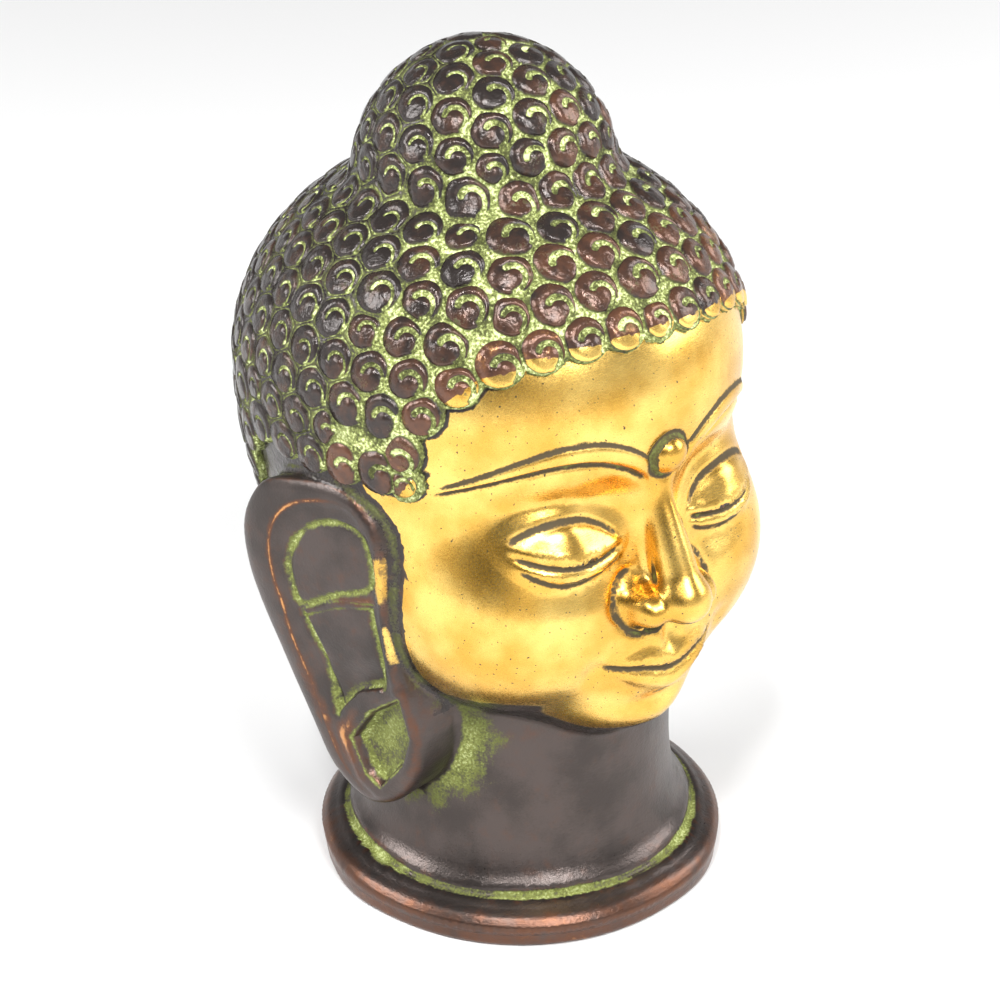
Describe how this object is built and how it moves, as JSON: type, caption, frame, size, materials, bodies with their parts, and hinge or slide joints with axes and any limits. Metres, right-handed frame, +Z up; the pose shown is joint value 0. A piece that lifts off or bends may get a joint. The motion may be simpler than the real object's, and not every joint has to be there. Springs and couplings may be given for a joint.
{
  "type": "brass buddha head",
  "caption": "Cast brass head with snail-shell curls, a crown knot and long ears, on a round foot; stands on its flat underside as an ornament.",
  "frame": {"origin": "middle of the foot's flat underside", "axes": "+Z up towards the crown knot, -Y the way the face looks, +X the head's left side"},
  "size_m": [0.1234, 0.1384, 0.2045],
  "materials": {
    "patinated_brass": "dark brown patina on hair, ears, neck and foot, yellow-green patina in the hollows, face polished to a warm gold"
  },
  "bodies": {
    "root": {"buddha_head": "patinated_brass"}
  },
  "joints": []
}
